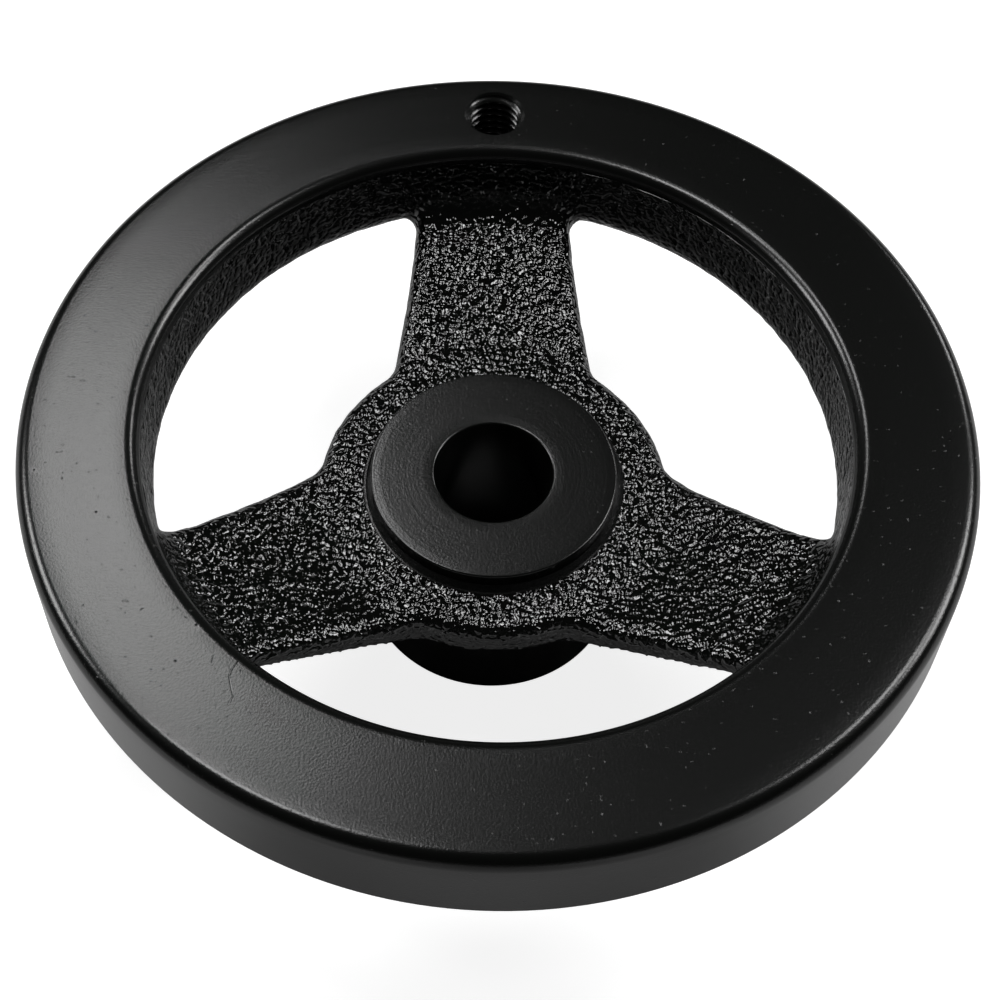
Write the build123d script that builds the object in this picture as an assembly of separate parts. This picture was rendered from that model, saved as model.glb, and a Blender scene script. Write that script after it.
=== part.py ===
import os
from math import hypot, radians, tan

from build123d import *

# Machine handwheel: one iron casting, with a rim and a hub turned in a lathe and three cast spokes.
# Millimetres, +Z up. The origin lies on the wheel's axis, at the lower end of the hub.

# Main heights
hub_length = 28.0               # from the lower end of the hub to its upper face
rim_face_rise = 13.4            # how far the rim's upper face stands above that of the hub

# Rim: flat upper face, rounded shoulder, inner wall left as cast
rim_diameter = 125.0
rim_height = 13.6
rim_opening_diameter = 93.4     # where the inner wall would meet the upper face
rim_shoulder_radius = 2.0
rim_inner_edge_radius = 1.6
rim_foot_outer_chamfer = 0.6
rim_foot_inner_radius = 4.0

# Hub: a boss above the web and a longer turned body below it
boss_diameter = 33.5
boss_edge_chamfer = 0.25
boss_foot_chamfer = 0.7
hub_body_diameter = 36.0
hub_body_chamfer = 0.5
bore_diameter = 16.0
bore_chamfer = 0.45
bore_bevel = 45.0               # degrees, between the bevel at each mouth and the bore's axis

# Web: a shallow dish from which the windows between the spokes are left out
web_drop_at_boss = 2.7          # its upper side below the boss face, flat beside the boss
web_flat_diameter = 50.0        # the flat part about the boss, from which the spokes rise
web_bend_radius = 8.0           # where its upper side turns upwards into the spokes
web_drop_at_rim = 9.9           # its upper side below the rim face, at the inner wall
web_thickness_at_boss = 3.8
web_thickness_at_rim = 2.8
web_disc_diameter = 48.4        # round part about the hub, over its lower edge
casting_draft = 6.5             # degrees, walls widen downwards so that the pattern lifts out

# Spokes: widths over the lower edges
spoke_count = 3
spoke_width_at_rim = 22.6
spoke_width_at_middle = 25.5
spoke_width_at_boss = 30.0
spoke_corner_radius = 3.5       # in plan, where a spoke leaves the round part
spoke_root_radius = 2.2         # in plan, where it runs into the rim
spoke_upper_edge_radius = 2.0
first_spoke_angle = 90.0

# Tapped hole for the handle, M8, through the rim over the first spoke
handle_hole_drill = 6.8
handle_hole_edge_distance = 8.0   # from the outside of the rim to the hole's axis
handle_hole_mouth = 8.8
handle_hole_bevel = 45.0        # degrees, between the bevel at each mouth and the hole's axis

# The web is carried this far into the rim, so that the two make one body
web_seat = 0.15

rim_face_z = hub_length + rim_face_rise
rim_foot_z = rim_face_z - rim_height
rim_radius = rim_diameter / 2
boss_radius = boss_diameter / 2
hub_body_radius = hub_body_diameter / 2
bore_radius = bore_diameter / 2
web_flat_radius = web_flat_diameter / 2
web_disc_radius = web_disc_diameter / 2
lean = tan(radians(casting_draft))


def rim_wall_radius(z):
    """Radius of the rim's inner wall, which leans inwards on its way down."""
    return rim_opening_diameter / 2 - (rim_face_z - z) * lean


def web_z(radius, z_at_boss, z_at_rim):
    """Height on a side of the web, which is flat about the boss and then rises evenly to the rim."""
    share = (radius - web_flat_radius) / (rim_wall_radius(z_at_rim) - web_flat_radius)
    return z_at_boss + max(share, 0) * (z_at_rim - z_at_boss)


def web_upper_z(radius):
    """Height of the web's upper side."""
    return web_z(radius, hub_length - web_drop_at_boss, rim_face_z - web_drop_at_rim)


def web_lower_z(radius):
    """Height of the web's lower side, a little steeper, so that the web thins towards the rim."""
    z_at_boss = hub_length - web_drop_at_boss - web_thickness_at_boss
    z_at_rim = rim_face_z - web_drop_at_rim - web_thickness_at_rim
    return web_z(radius, z_at_boss, z_at_rim)


def turned(corners):
    """Full turn of a closed section, given as corners (radius, height) with the round on each."""
    with BuildSketch(Plane.YZ) as section:
        with BuildLine():
            Polyline(*[(radius, z) for radius, z, rounding in corners], close=True)
        make_face()
        for radius, z, rounding in corners:
            if rounding > 0:
                corner = section.vertices().sort_by_distance((radius, z, 0))[0]
                fillet(corner, rounding)
    return revolve(section.sketch, Axis.Z, 360)


def rim():
    """Ring with its edges rounded, but for a small chamfer around the outside of its foot."""
    return turned(
        [
            (rim_wall_radius(rim_face_z), rim_face_z, rim_inner_edge_radius),
            (rim_radius, rim_face_z, rim_shoulder_radius),
            (rim_radius, rim_foot_z + rim_foot_outer_chamfer, 0),
            (rim_radius - rim_foot_outer_chamfer, rim_foot_z, 0),
            (rim_wall_radius(rim_foot_z), rim_foot_z, rim_foot_inner_radius),
        ]
    )


def centre():
    """The hub and the web about it in one turning, before the windows are left out."""
    reach = (rim_wall_radius(rim_face_z) + rim_radius) / 2
    return turned(
        [
            (0, 0, 0),
            (hub_body_radius - hub_body_chamfer, 0, 0),
            (hub_body_radius, hub_body_chamfer, 0),
            (hub_body_radius, web_lower_z(hub_body_radius), 0),
            (web_flat_radius, web_lower_z(web_flat_radius), 0),
            (reach, web_lower_z(reach), 0),
            (reach, web_upper_z(reach), 0),
            (web_flat_radius, web_upper_z(web_flat_radius), web_bend_radius),
            (boss_radius + boss_foot_chamfer, web_upper_z(boss_radius), 0),
            (boss_radius, web_upper_z(boss_radius) + boss_foot_chamfer, 0),
            (boss_radius, hub_length - boss_edge_chamfer, 0),
            (boss_radius - boss_edge_chamfer, hub_length, 0),
            (0, hub_length, 0),
        ]
    )


def spoke_plan(level):
    """Plan of one spoke along +X, narrowing from the boss to the rim in a shallow curve."""
    reach = rim_wall_radius(rim_foot_z)

    def side(radius, width):
        return radius, width / 2 + (web_lower_z(radius) - level) * lean

    at_boss = side(boss_radius, spoke_width_at_boss)
    at_middle = side((boss_radius + reach) / 2, spoke_width_at_middle)
    at_rim = side(reach, spoke_width_at_rim)
    past_rim = (rim_radius, at_rim[1])
    on_axis = (0, at_boss[1])
    half = Line(on_axis, at_boss) + ThreePointArc(at_boss, at_middle, at_rim) + Line(at_rim, past_rim)
    half += Line(past_rim, (rim_radius, 0)) + Line((rim_radius, 0), (0, 0)) + Line((0, 0), on_axis)
    upper_half = make_face(half)
    return upper_half + mirror(upper_half, Plane.XZ)


def rim_space():
    """The space inside the rim and below it, as far as the rim's section reaches."""
    wall_top = rim_wall_radius(rim_face_z) + web_seat
    wall_foot = rim_wall_radius(rim_foot_z) + web_seat
    low = web_lower_z(0) - web_seat
    return turned(
        [
            (0, low, 0),
            (rim_radius, low, 0),
            (rim_radius, rim_foot_z + web_seat, 0),
            (wall_foot, rim_foot_z + web_seat, rim_foot_inner_radius),
            (wall_top, rim_face_z, 0),
            (0, rim_face_z, 0),
        ]
    )


def runs_up_the_rim(edge):
    """Whether an edge of a window's core stands where a spoke's side meets the rim."""
    middle = edge @ 0.5
    away_from_disc = hypot(middle.X, middle.Y) > (web_disc_radius + rim_radius) / 2
    return away_from_disc and abs(edge.tangent_at(0.5).Z) > 0.3


def windows():
    """Drafted cores for the windows, each bounded by two spokes, the rim and the round part."""
    level = web_lower_z(0)
    disc_radius = web_disc_radius + (web_lower_z(web_disc_radius) - level) * lean
    plan = Circle(rim_radius) - Circle(disc_radius)
    for index in range(spoke_count):
        plan -= Rot(0, 0, first_spoke_angle + index * 360 / spoke_count) * spoke_plan(level)
    space = rim_space()
    cores = []
    for face in plan.faces():
        at_disc = face.vertices().filter_by(lambda v: abs(hypot(v.X, v.Y) - disc_radius) < 0.001)
        face = face.fillet_2d(spoke_corner_radius, at_disc)
        core = Pos(0, 0, level) * extrude(face, rim_face_z - level, taper=-casting_draft)
        core = core & space
        cores.append(core.fillet(spoke_root_radius, core.edges().filter_by(runs_up_the_rim)))
    return cores


def is_upper_window_edge(edge):
    """Whether an edge runs round a window on the web's upper side, clear of the boss and the rim."""
    middle = edge @ 0.5
    radius = hypot(middle.X, middle.Y)
    clear_of_rim = radius < rim_wall_radius(web_upper_z(radius)) - spoke_root_radius / 2
    at_height = abs(middle.Z - web_upper_z(radius)) < web_thickness_at_rim / 4
    cut = edge.geom_type != GeomType.LINE and radius > (boss_radius + web_disc_radius) / 2
    return clear_of_rim and at_height and cut


def spider():
    """The hub with its spokes, their upper edges rounded."""
    body = centre() - windows()
    return body.fillet(spoke_upper_edge_radius, body.edges().filter_by(is_upper_window_edge))


def hole(radius, z_low, z_high, mouth_radius, bevel):
    """Round hole along +Z with a bevelled mouth at each end."""
    depth = (mouth_radius - radius) / tan(radians(bevel))
    return turned(
        [
            (0, z_low, 0),
            (mouth_radius, z_low, 0),
            (radius, z_low + depth, 0),
            (radius, z_high - depth, 0),
            (mouth_radius, z_high, 0),
            (0, z_high, 0),
        ]
    )


def wheel():
    """The whole casting, bored and drilled."""
    body = rim() + spider()
    body -= hole(bore_radius, 0, hub_length, bore_radius + bore_chamfer, bore_bevel)
    handle_hole = hole(
        handle_hole_drill / 2, rim_foot_z, rim_face_z, handle_hole_mouth / 2, handle_hole_bevel
    )
    handle_place = Rot(0, 0, first_spoke_angle) * Pos(rim_radius - handle_hole_edge_distance, 0, 0)
    return body - handle_place * handle_hole


os.makedirs("parts", exist_ok=True)
export_step(wheel(), "parts/handwheel.step")
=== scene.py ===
from math import cos, hypot, pi, radians, sin, tan

import bmesh
import bpy
from mathutils import Matrix, Vector, noise


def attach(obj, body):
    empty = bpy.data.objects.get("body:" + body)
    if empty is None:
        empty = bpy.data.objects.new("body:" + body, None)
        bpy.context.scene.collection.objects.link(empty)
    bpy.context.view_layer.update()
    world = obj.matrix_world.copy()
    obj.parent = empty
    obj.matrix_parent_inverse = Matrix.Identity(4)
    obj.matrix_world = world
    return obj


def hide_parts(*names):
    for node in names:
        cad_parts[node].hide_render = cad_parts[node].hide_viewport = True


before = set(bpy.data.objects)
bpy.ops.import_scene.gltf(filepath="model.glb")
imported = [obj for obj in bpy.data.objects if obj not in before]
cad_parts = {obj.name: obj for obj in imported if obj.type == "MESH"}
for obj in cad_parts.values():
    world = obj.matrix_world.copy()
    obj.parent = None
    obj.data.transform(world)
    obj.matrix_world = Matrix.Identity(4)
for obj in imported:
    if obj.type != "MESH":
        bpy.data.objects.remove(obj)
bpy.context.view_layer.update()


# Black dip coat over the whole wheel, put on wet after the turning. On turned iron it is thin and
# satin and shows the grain of the metal. On the cast skin it flows over the sand grains and dries
# glossy, so that each grain glints by itself.
MM = 0.001    # one millimetre in metres; a size given without it is in millimetres


def linear(code):
    """An sRGB hex colour as the linear values that a shader takes."""
    parts = [int(code[i:i + 2], 16) / 255 for i in (1, 3, 5)]
    return tuple(p / 12.92 if p <= 0.04045 else ((p + 0.055) / 1.055) ** 2.4 for p in parts) + (1,)


def node(tree, kind, settings=None, *ordered, **named):
    """Adds a node with its settings. Its inputs come in order or by name, as values or as links."""
    made = tree.nodes.new(kind)
    for name, value in (settings or {}).items():
        setattr(made, name, value)
    given = list(zip(made.inputs, ordered))
    given += [(made.inputs[name.replace("_", " ")], value) for name, value in named.items()]
    for socket, value in given:
        if isinstance(value, bpy.types.NodeSocket):
            tree.links.new(value, socket)
        else:
            socket.default_value = value
    return made


# On the skin: a glossy film over rounded grains about 0.7 mm wide, which wander out of line. The
# roughness and IOR start from those of a hard varnish, 0.1 and 1.5, and are matched to the wheel.
SAND_GRAIN = 0.72 * MM
SAND_GRAIN_HEIGHT = 0.29 * MM
GRAIN_WANDER = 0.5 * MM
WANDER_LENGTH = 1.1 * MM

coat_on_skin = bpy.data.materials.new("black_dip_coat_on_sand_cast_iron")
coat_on_skin.use_nodes = True
tree = coat_on_skin.node_tree
coat = tree.nodes["Principled BSDF"]
coat.inputs["Base Color"].default_value = linear("#040504")
coat.inputs["Roughness"].default_value = 0.09
coat.inputs["IOR"].default_value = 1.6
place = node(tree, "ShaderNodeTexCoord").outputs["Object"]
wander = node(tree, "ShaderNodeTexNoise", Vector=place, Scale=1 / WANDER_LENGTH, Detail=0.0)
shifted = node(tree, "ShaderNodeVectorMath", {"operation": "MULTIPLY_ADD"},
               wander.outputs["Color"], [GRAIN_WANDER] * 3, place)
grains = node(tree, "ShaderNodeTexVoronoi", {"feature": "SMOOTH_F1"},
              Vector=shifted.outputs["Vector"], Scale=1 / SAND_GRAIN, Smoothness=0.6)
domes = node(tree, "ShaderNodeMath", {"operation": "POWER"}, grains.outputs["Distance"], 2.0)
relief = node(tree, "ShaderNodeBump", {"invert": True}, Height=domes.outputs[0],
              Distance=SAND_GRAIN_HEIGHT, Strength=1.0)
tree.links.new(relief.outputs["Normal"], coat.inputs["Normal"])

# On turned iron: a satin film with a few specks of dust, and by the bore the rings of the last
# cut. The metal's own grain is finer than 0.1 mm and the rings about 0.2 mm apart, too fine to
# show, so they are drawn 0.3 and 0.45 mm wide. The IOR is that of varnish.
METAL_GRAIN = 0.30 * MM
METAL_GRAIN_HEIGHT = 0.015 * MM
DUST_PATCH = 0.55 * MM
DUST_HEIGHT = 0.02 * MM
RING_WIDTH = 0.45 * MM
RING_HEIGHT = 0.006 * MM
RINGS_FULL_TO = 17 * MM
RINGS_GONE_BY = 18 * MM

coat_on_turned = bpy.data.materials.new("black_dip_coat_on_turned_cast_iron")
coat_on_turned.use_nodes = True
tree = coat_on_turned.node_tree
coat = tree.nodes["Principled BSDF"]
coat.inputs["Base Color"].default_value = linear("#070807")
coat.inputs["Roughness"].default_value = 0.22
coat.inputs["IOR"].default_value = 1.5
place = node(tree, "ShaderNodeTexCoord").outputs["Object"]
grain = node(tree, "ShaderNodeTexNoise", Vector=place, Scale=1 / METAL_GRAIN, Detail=1.0,
             Roughness=0.6)
relief = node(tree, "ShaderNodeBump", Height=grain.outputs["Fac"], Distance=METAL_GRAIN_HEIGHT,
              Strength=1.0)
dust = node(tree, "ShaderNodeTexNoise", Vector=place, Scale=1 / DUST_PATCH, Detail=0.0)
specks = node(tree, "ShaderNodeMapRange", Value=dust.outputs["Fac"], From_Min=0.80, From_Max=0.86)
relief = node(tree, "ShaderNodeBump", Height=specks.outputs["Result"], Distance=DUST_HEIGHT,
              Strength=1.0, Normal=relief.outputs["Normal"])
flat = node(tree, "ShaderNodeVectorMath", {"operation": "MULTIPLY"}, place, (1, 1, 0))
radius = node(tree, "ShaderNodeVectorMath", {"operation": "LENGTH"}, flat.outputs["Vector"])
feed = node(tree, "ShaderNodeTexNoise", {"noise_dimensions": "1D"}, W=radius.outputs["Value"],
            Scale=1 / RING_WIDTH, Detail=1.0)
near_bore = node(tree, "ShaderNodeMapRange", Value=radius.outputs["Value"],
                 From_Min=RINGS_GONE_BY, From_Max=RINGS_FULL_TO)
rings = node(tree, "ShaderNodeMath", {"operation": "MULTIPLY"},
             feed.outputs["Fac"], near_bore.outputs["Result"])
relief = node(tree, "ShaderNodeBump", Height=rings.outputs[0], Distance=RING_HEIGHT,
              Strength=1.0, Normal=relief.outputs["Normal"])
tree.links.new(relief.outputs["Normal"], coat.inputs["Normal"])


# The raw casting: grey iron poured in a sand mould, so its skin is uneven all over. It is the
# wheel's own form with a machining allowance left on the rim, the boss, the hub and the bore.
# Only the spokes, the round web and the rim's inner wall keep this skin on the finished wheel.
COATS = (coat_on_skin, coat_on_turned)    # in the order of the wheel's material slots
SKIN = 0
TURNED = 1
SKIN_GRID = 0.45 * MM
SKIN_WAVES = [(5.0, 0.06), (2.1, 0.09), (1.1, 0.04)]    # length and height of each kind of lump
ALLOWANCE = 0.5 * MM
# Radii where the rim begins, where the hub ends, and inside which all is bored out.
RIM_FROM = 44.0
HUB_TO = 19.5
BORED_TO = 12.0
# Where the skin ends: its top on the rim's inner wall, its edge on the rim's foot, its edge round
# the boss, the foot of that edge, its lowest line on the hub body, and its top on the web.
RIM_SKIN_TOP = 39.3
FOOT_SKIN_EDGE = 49.8
BOSS_SKIN_EDGE = 17.7
BOSS_SKIN_FOOT = 23.0
BODY_SKIN_FOOT = 20.9
WEB_SKIN_TOP = 25.3
# Over what distance the allowance rises there: up the rim's wall, out on its foot, up the boss, and
# at the skin's edges by the hub.
RIM_FADE = 0.7
FOOT_FADE = 0.8
BOSS_FADE = 1.0
SKIN_FADE = 0.3
# The corner where a spoke's upper side meets the rim's inner wall: its radius and height, the way up
# the wall and the way down the spoke.
SPOKE_ANGLES = (90, 210, 330)
SPOKE_ROOT = Vector((45.57, 31.5))
WALL_RISE = Vector((0.113, 0.994))
SPOKE_FALL = Vector((-0.958, -0.289))
# The hollow blend in it: its radius, how deep behind it a point still moves out to it, and how far
# from the spoke's middle it stays whole and is gone.
BLEND_RADIUS = 6.0
BLEND_REACH = 1.9
BLEND_WHOLE_TO = 8.6
BLEND_GONE_BY = 11.8


def new_piece(name, shape, materials, slot=0):
    """A piece from a bmesh that is already in its place. All its faces get the material in slot."""
    for face in shape.faces:
        face.material_index = slot
    mesh = bpy.data.meshes.new(name)
    shape.to_mesh(mesh)
    shape.free()
    for material in materials:
        mesh.materials.append(material)
    piece = bpy.data.objects.new(name, mesh)
    bpy.context.scene.collection.objects.link(piece)
    return piece


def settle(piece):
    """Turns a piece's modifiers into its mesh."""
    graph = bpy.context.evaluated_depsgraph_get()
    mesh = bpy.data.meshes.new_from_object(piece.evaluated_get(graph))
    piece.modifiers.clear()
    piece.data = mesh


def rise(value, start, end):
    """0 up to start, 1 from end on and a smooth step between. End may be the smaller of the two."""
    share = min(max((value - start) / (end - start), 0), 1)
    return share * share * (3 - 2 * share)


def allowance(place):
    """The share of the allowance at a point of the casting: 0 on the skin, 1 where it is turned."""
    x, y, z = place / MM
    radius = hypot(x, y)
    if radius > RIM_FROM:
        face = rise(z, RIM_SKIN_TOP, RIM_SKIN_TOP + RIM_FADE)
        foot = rise(radius, FOOT_SKIN_EDGE, FOOT_SKIN_EDGE + FOOT_FADE)
        return max(face, foot)
    if radius > HUB_TO:
        return 0
    if radius < BORED_TO:
        return 1
    boss = rise(radius, BOSS_SKIN_EDGE, BOSS_SKIN_EDGE - SKIN_FADE)
    boss *= rise(z, BOSS_SKIN_FOOT, BOSS_SKIN_FOOT + BOSS_FADE)
    body = rise(z, BODY_SKIN_FOOT + SKIN_FADE, BODY_SKIN_FOOT)
    return max(boss, body)


def root_blend(place):
    """The way to the hollow blend where a spoke's upper side runs up into the rim's inner wall."""
    on_spokes = [Matrix.Rotation(radians(-angle), 2) @ place.xy / MM for angle in SPOKE_ANGLES]
    nearest = max(on_spokes, key=lambda seen: seen.x)
    point = Vector((nearest.length, place.z / MM))
    opening = WALL_RISE + SPOKE_FALL
    half_angle = WALL_RISE.angle(SPOKE_FALL) / 2
    centre = SPOKE_ROOT + opening.normalized() * BLEND_RADIUS / sin(half_angle)
    reach = BLEND_RADIUS / tan(half_angle)
    from_root = point - SPOKE_ROOT
    depth = (point - centre).length - BLEND_RADIUS
    beyond = max(from_root.dot(WALL_RISE), from_root.dot(SPOKE_FALL)) > reach
    if beyond or not 0 < depth < BLEND_REACH:
        return Vector()
    share = rise(abs(nearest.y), BLEND_GONE_BY, BLEND_WHOLE_TO)
    step = (centre - point).normalized() * depth * share * MM
    outwards = Vector((place.x, place.y, 0)).normalized()
    return outwards * step.x + Vector((0, 0, step.y))


def skin_height(place):
    """The unevenness that the sand mould gives: broad swells, with lumps and small lumps on them."""
    return sum(noise.noise(place / (length * MM)) * height for length, height in SKIN_WAVES) * MM


shape = bmesh.new()
shape.from_mesh(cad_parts["handwheel"].data)
bmesh.ops.remove_doubles(shape, verts=shape.verts, dist=0.001 * MM)
bmesh.ops.recalc_face_normals(shape, faces=shape.faces)
wheel = new_piece("handwheel_casting", shape, COATS, SKIN)
moulding = wheel.modifiers.new("moulding", "REMESH")
moulding.mode = "VOXEL"
moulding.voxel_size = SKIN_GRID
settle(wheel)

shape = bmesh.new()
shape.from_mesh(wheel.data)
shape.normal_update()
moves = []
for vertex in shape.verts:
    turned_share = allowance(vertex.co)
    height = skin_height(vertex.co) * (1 - turned_share) + ALLOWANCE * turned_share
    moves.append(vertex.normal * height + root_blend(vertex.co))
for vertex, move in zip(shape.verts, moves):
    vertex.co += move
shape.to_mesh(wheel.data)
shape.free()


# Turning: what the lathe leaves, as one closed section turned about the axis. The casting is cut
# to it, so the rim, boss, hub body and bore are crisp, and the skin ends where the tool left off.
RIM_RADIUS = 62.48
RIM_FACE = 41.4
RIM_FOOT = 27.8
OPENING_RADIUS = 46.7
WALL_LEAN = 0.114
SHOULDER_ROUND = 2.0
INNER_ROUND = 1.6
BOSS_RADIUS = 16.75
BOSS_FACE = 28.0
BOSS_FOOT = 0.7
BODY_RADIUS = 18.0
BORE_RADIUS = 8.0
FOOT_CHAMFER = 0.6
BODY_CHAMFER = 0.5
BORE_CHAMFER = 0.45
BOSS_EDGE_ROUND = 0.3
BORE_EDGE_ROUND = 0.4
FOOT_TURNED_FROM = 50.0
WEB_SKIM = 0.05
RUN_OUT = 0.6
RUN_OUT_DROP = 0.2
LONG_EDGE = 3 * MM
TURNING_STEPS = 216


def wire_section(shape, corners):
    """A flat section in the XZ plane from (radius, height, rounding) corners, in millimetres."""
    verts = [shape.verts.new((radius * MM, 0, height * MM)) for radius, height, rounding in corners]
    shape.faces.new(verts)
    for vert, (radius, height, rounding) in zip(verts, corners):
        if rounding > 0:
            bmesh.ops.bevel(shape, geom=[vert], offset=rounding * MM, affect="VERTICES",
                            segments=10, profile=0.5, material=-1)
    bmesh.ops.delete(shape, geom=shape.faces[:], context="FACES_ONLY")


wall_end = OPENING_RADIUS - (RIM_FACE - RIM_SKIN_TOP) * WALL_LEAN
shape = bmesh.new()
wire_section(shape, [
    (BORE_RADIUS + BORE_CHAMFER, 0, 0),
    (BODY_RADIUS - BODY_CHAMFER, 0, 0),
    (BODY_RADIUS, BODY_CHAMFER, 0),
    (BODY_RADIUS, BODY_SKIN_FOOT, 0),
    (FOOT_TURNED_FROM, BODY_SKIN_FOOT, 0),
    (FOOT_TURNED_FROM, RIM_FOOT, 0),
    (RIM_RADIUS - FOOT_CHAMFER, RIM_FOOT, 0),
    (RIM_RADIUS, RIM_FOOT + FOOT_CHAMFER, 0),
    (RIM_RADIUS, RIM_FACE, SHOULDER_ROUND),
    (OPENING_RADIUS, RIM_FACE, INNER_ROUND),
    (wall_end, RIM_SKIN_TOP, 0),
    (wall_end - RUN_OUT, RIM_SKIN_TOP - RUN_OUT_DROP, 0),
    (BOSS_SKIN_EDGE + SKIN_FADE, RIM_SKIN_TOP - RUN_OUT_DROP, 0),
    (BOSS_SKIN_EDGE + SKIN_FADE, WEB_SKIN_TOP + SKIN_FADE, 0),
    (BOSS_SKIN_EDGE, WEB_SKIN_TOP - WEB_SKIM, 0),
    (BOSS_RADIUS + BOSS_FOOT, WEB_SKIN_TOP - WEB_SKIM, 0),
    (BOSS_RADIUS, WEB_SKIN_TOP + BOSS_FOOT, 0),
    (BOSS_RADIUS, BOSS_FACE, BOSS_EDGE_ROUND),
    (BORE_RADIUS, BOSS_FACE, BORE_EDGE_ROUND),
    (BORE_RADIUS, BORE_CHAMFER, 0),
])
long_edges = [edge for edge in shape.edges if edge.calc_length() > LONG_EDGE]
bmesh.ops.subdivide_edges(shape, edges=long_edges, cuts=4)
bmesh.ops.spin(shape, geom=shape.verts[:] + shape.edges[:], cent=(0, 0, 0), axis=(0, 0, 1),
               angle=2 * pi, steps=TURNING_STEPS, use_merge=True)
bmesh.ops.remove_doubles(shape, verts=shape.verts, dist=0.001 * MM)
bmesh.ops.recalc_face_normals(shape, faces=shape.faces)
turning = new_piece("turning", shape, COATS, TURNED)


# The tapped hole for the handle: M8 coarse, right-handed, through the rim with a bevelled mouth.
# It is cut by a tap, with rounded crests and roots. The grooves go 0.15 mm deeper than the
# standard's, so that they show.
HANDLE_PLACE = Vector((0, 54.5 * MM, 0))
THREAD_PITCH = 1.25
THREAD_MINOR = 3.35
THREAD_MAJOR = 4.15
MOUTH_RADIUS = 4.4
TAP_LOW = RIM_FOOT - 1.0
TAP_HIGH = RIM_FACE + 1.0
RINGS_PER_TURN = 14


def draw_out(shape, ring, steps):
    """Extrudes a ring of edges by each step in turn, and closes both of its ends."""
    bmesh.ops.holes_fill(shape, edges=ring)
    for step in steps:
        grown = bmesh.ops.extrude_edge_only(shape, edges=ring)["geom"]
        ends = [part for part in grown if isinstance(part, bmesh.types.BMVert)]
        bmesh.ops.translate(shape, verts=ends, vec=step)
        ring = [part for part in grown if isinstance(part, bmesh.types.BMEdge)]
    bmesh.ops.holes_fill(shape, edges=ring)


shape = bmesh.new()
bmesh.ops.create_circle(shape, segments=48, radius=THREAD_MINOR * MM)
bmesh.ops.translate(shape, verts=shape.verts, vec=(0, 0, TAP_LOW * MM))
rings = int((TAP_HIGH - TAP_LOW) / THREAD_PITCH * RINGS_PER_TURN)
draw_out(shape, shape.edges[:], [(0, 0, THREAD_PITCH / RINGS_PER_TURN * MM)] * rings)
for vertex in shape.verts:
    x, y, z = vertex.co / MM
    turns = z / THREAD_PITCH - Vector((x, y)).angle_signed(Vector((1, 0))) / (2 * pi)
    radius = THREAD_MINOR + (THREAD_MAJOR - THREAD_MINOR) * (1 - cos(2 * pi * turns)) / 2
    mouth = MOUTH_RADIUS - min(RIM_FACE - z, z - RIM_FOOT)
    factor = max(radius, mouth) / hypot(x, y)
    vertex.co.x *= factor
    vertex.co.y *= factor
bmesh.ops.translate(shape, verts=shape.verts, vec=HANDLE_PLACE)
bmesh.ops.recalc_face_normals(shape, faces=shape.faces)
tap = new_piece("tap", shape, COATS, TURNED)


def cut(piece, tool, operation):
    """Cuts a piece with a tool and takes the tool away."""
    step = piece.modifiers.new("cut", "BOOLEAN")
    step.operation = operation
    step.solver = "MANIFOLD"
    step.object = tool
    settle(piece)
    bpy.data.objects.remove(tool)


cut(wheel, turning, "INTERSECT")
cut(wheel, tap, "DIFFERENCE")


# Marks of use on the rim's face: one hairline scratch by the inner edge, two short ones beside it,
# and small nicks. Each is cut into the face, and the cutter is a bent wire or a small ball.
SCRATCH_LIFT = 0.03    # how far the middle of the wire and of the ball stay above the face
NICK_LIFT = 0.04
CRISP_ANGLE = radians(28)
# The width of each wire or ball, and where it goes on the face.
SCRATCHES = [
    (0.30, [(-30.82, -36.98), (-31.55, -38.20), (-31.74, -39.01), (-31.39, -40.47), (-31.06, -41.66),
            (-31.46, -42.59)]),
    (0.22, [(-33.87, -36.21), (-34.02, -37.30)]),
    (0.22, [(-33.49, -37.96), (-33.35, -38.23)]),
]
NICKS = [
    (0.40, (-50.30, -16.02)),
    (0.40, (-38.34, -37.09)),
    (0.36, (-58.99, -9.72)),
    (0.36, (58.36, -3.52)),
    (0.40, (-36.27, -32.13)),
    (0.34, (13.53, -47.61)),
    (0.40, (-1.82, 48.29)),
    (0.40, (-0.23, 48.51)),
]


def mark(shape):
    """Cuts the wheel with a bmesh, and leaves the cut finished as the turned iron is."""
    bmesh.ops.recalc_face_normals(shape, faces=shape.faces)
    cut(wheel, new_piece("marking_tool", shape, COATS, TURNED), "DIFFERENCE")


for width, line in SCRATCHES:
    points = [Vector((x, y, RIM_FACE + SCRATCH_LIFT)) * MM for x, y in line]
    shape = bmesh.new()
    bmesh.ops.create_circle(shape, segments=8, radius=width / 2 * MM)
    bmesh.ops.rotate(shape, verts=shape.verts, matrix=Matrix.Rotation(pi / 2, 3, "X"))
    bmesh.ops.translate(shape, verts=shape.verts, vec=points[0])
    draw_out(shape, shape.edges[:], [end - start for start, end in zip(points, points[1:])])
    mark(shape)
for width, (x, y) in NICKS:
    shape = bmesh.new()
    bmesh.ops.create_icosphere(shape, subdivisions=2, radius=width / 2 * MM)
    bmesh.ops.translate(shape, verts=shape.verts, vec=Vector((x, y, RIM_FACE + NICK_LIFT)) * MM)
    mark(shape)

# The skin is shaded smooth. Turned iron keeps its crisp edges, and so does the line between the two.
shape = bmesh.new()
shape.from_mesh(wheel.data)
for face in shape.faces:
    face.smooth = True
for edge in shape.edges:
    first, second = edge.link_faces
    turned_sides = [first.material_index, second.material_index].count(TURNED)
    edge.smooth = turned_sides == 0 or (turned_sides == 2 and edge.calc_face_angle() < CRISP_ANGLE)
shape.to_mesh(wheel.data)
shape.free()

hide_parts("handwheel")
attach(wheel, "root")


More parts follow.
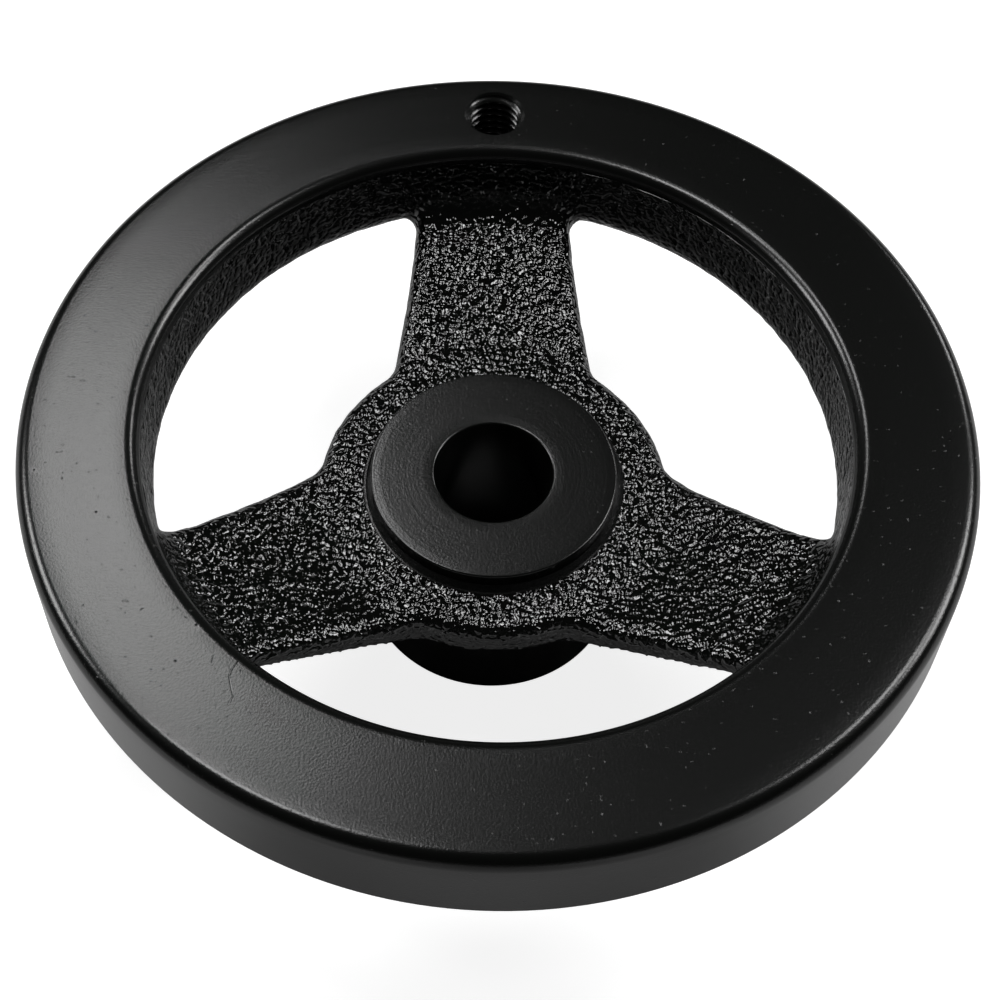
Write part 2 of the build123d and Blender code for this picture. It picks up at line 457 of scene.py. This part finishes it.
# The studio: a plain pale floor under the hub and six soft lights round a dark room. The largest
# stands high at the back on the left, so the flat faces darken to the right. The small ones are
# there for the grains of the skin, the thread and the rounded shoulder.
FLOOR_SIZE = 4.0
FLOOR_GAP = 0.05 * MM
# Painted reflection: how far out to either side the paper's mirrored glow starts and is full, and how
# bright it is there.
SIDES_FROM = 40 * MM
SIDES_TO = 65 * MM
PAINTED_SIDE_GLOW = 0.32
ROOM_LEVEL = 0.02
WALL_LEVEL = 0.10
WALL_TOP = 0.24
WALL_FULL = 0.12
WHEEL_MIDDLE = Vector((0, 0, 30 * MM))


def seen_level(tree, mirrored_level):
    """1 where the camera looks straight at a thing, and mirrored_level in metal and through glass."""
    rays = node(tree, "ShaderNodeLightPath").outputs
    mirrored = node(tree, "ShaderNodeMath", {"operation": "MAXIMUM"},
                    rays["Is Glossy Ray"], rays["Is Transmission Ray"])
    dimmed = node(tree, "ShaderNodeMath", {"operation": "MULTIPLY"},
                  mirrored.outputs[0], mirrored_level)
    seen = node(tree, "ShaderNodeMath", {"operation": "MAXIMUM"},
                dimmed.outputs[0], rays["Is Camera Ray"])
    return seen.outputs[0]


# Matt white paper, white to the camera. The coat mirrors only a dim glow of it, from beyond the
# wheel's sides. This is a painted reflection of light from the left and the right, and the floor by
# the wheel stays dark in reflections as painted shade.
paper = bpy.data.materials.new("white_paper_sweep")
paper.use_nodes = True
tree = paper.node_tree
sheet = tree.nodes["Principled BSDF"]
sheet.inputs["Base Color"].default_value = linear("#b4b4b4")
sheet.inputs["Roughness"].default_value = 0.9
sheet.inputs["Emission Color"].default_value = linear("#ececec")
place = node(tree, "ShaderNodeTexCoord").outputs["Object"]
spot = node(tree, "ShaderNodeSeparateXYZ", Vector=place)
# Painted reflection and shade: mirrored rays see the paper glow only beyond the wheel's sides.
aside = node(tree, "ShaderNodeMath", {"operation": "ABSOLUTE"}, spot.outputs["X"])
painted_side_glow = node(tree, "ShaderNodeMapRange", Value=aside.outputs[0],
             From_Min=SIDES_FROM, From_Max=SIDES_TO, To_Max=PAINTED_SIDE_GLOW)
glow = seen_level(tree, painted_side_glow.outputs["Result"])
tree.links.new(glow, sheet.inputs["Emission Strength"])
shape = bmesh.new()
bmesh.ops.create_grid(shape, x_segments=1, y_segments=1, size=FLOOR_SIZE)
bmesh.ops.translate(shape, verts=shape.verts, vec=(0, 0, -FLOOR_GAP))
floor = new_piece("floor", shape, [paper])


def softbox(name, direction, distance, width, height, brightness):
    """A soft light that faces the wheel. Brightness is that of its surface, where white paper is 1."""
    light = bpy.data.lights.new(name, "AREA")
    light.shape = "RECTANGLE"
    light.size = width
    light.size_y = height
    light.energy = brightness * pi * width * height
    lamp = bpy.data.objects.new(name, light)
    bpy.context.scene.collection.objects.link(lamp)
    lamp.location = Vector(direction).normalized() * distance
    to_wheel = WHEEL_MIDDLE - lamp.location
    lamp.rotation_euler = to_wheel.to_track_quat("-Z", "Y").to_euler()


# Each lamp's direction from the wheel, its distance, width and height in metres, and its brightness.
softbox("key_back_left", (-0.201, 0.522, 0.845), 1.775, 0.33, 0.49, 8.6)
softbox("over_left", (-0.24, 0.19, 0.952), 1.2, 0.26, 0.26, 13.0)
softbox("over_right", (0.46, 0.22, 0.860), 1.2, 0.24, 0.24, 12.0)
softbox("edge_left", (-0.72, 0.25, 0.64), 1.2, 0.42, 0.32, 11.0)
softbox("low_back_right", (0.55, 0.62, 0.50), 1.2, 0.20, 0.20, 10.0)
softbox("edge_right", (0.72, 0.25, 0.64), 1.2, 0.42, 0.32, 11.0)

# The room: white to the camera, dark for all else, and a faint pale wall low down in reflections.
world = bpy.data.worlds.new("studio")
bpy.context.scene.world = world
world.use_nodes = True
tree = world.node_tree
sky = tree.nodes["Background"]
sky.inputs["Color"].default_value = linear("#ffffff")
direction = node(tree, "ShaderNodeTexCoord").outputs["Generated"]
way = node(tree, "ShaderNodeSeparateXYZ", Vector=direction)
wall = node(tree, "ShaderNodeMapRange", {"interpolation_type": "SMOOTHSTEP"},
            Value=way.outputs["Z"], From_Min=WALL_TOP, From_Max=WALL_FULL, To_Max=WALL_LEVEL)
level = node(tree, "ShaderNodeMapRange", Value=seen_level(tree, wall.outputs["Result"]),
             To_Min=ROOM_LEVEL)
tree.links.new(level.outputs["Result"], sky.inputs["Strength"])


# The camera: close above the near side of the rim, so the far side draws together. Its lens is
# as long as 1.9258 widths of the picture, and it is rolled by nearly a degree.
LENS_WIDTHS = 1.9258
SENSOR_WIDTH = 36
ROLL = radians(-0.9184)

camera_data = bpy.data.cameras.new("camera")
camera_data.lens = LENS_WIDTHS * SENSOR_WIDTH
camera_data.sensor_width = SENSOR_WIDTH
camera_data.shift_x = 0.0788
camera_data.shift_y = -0.0724
camera_data.clip_start = 0.01
camera = bpy.data.objects.new("camera", camera_data)
bpy.context.scene.collection.objects.link(camera)
camera_place = Vector((-4.91, -148.1, 243.8)) * MM
aim = Vector((-9.65, -2.42, 41.4)) * MM
forward = (aim - camera_place).normalized()
right = forward.cross(Vector((0, 0, 1))).normalized()
up = right.cross(forward)
turn = Matrix((right, up, -forward)).transposed().to_4x4()
camera.matrix_world = Matrix.Translation(camera_place) @ turn @ Matrix.Rotation(ROLL, 4, "Z")
bpy.context.scene.camera = camera
bpy.context.scene.view_settings.view_transform = "Standard"
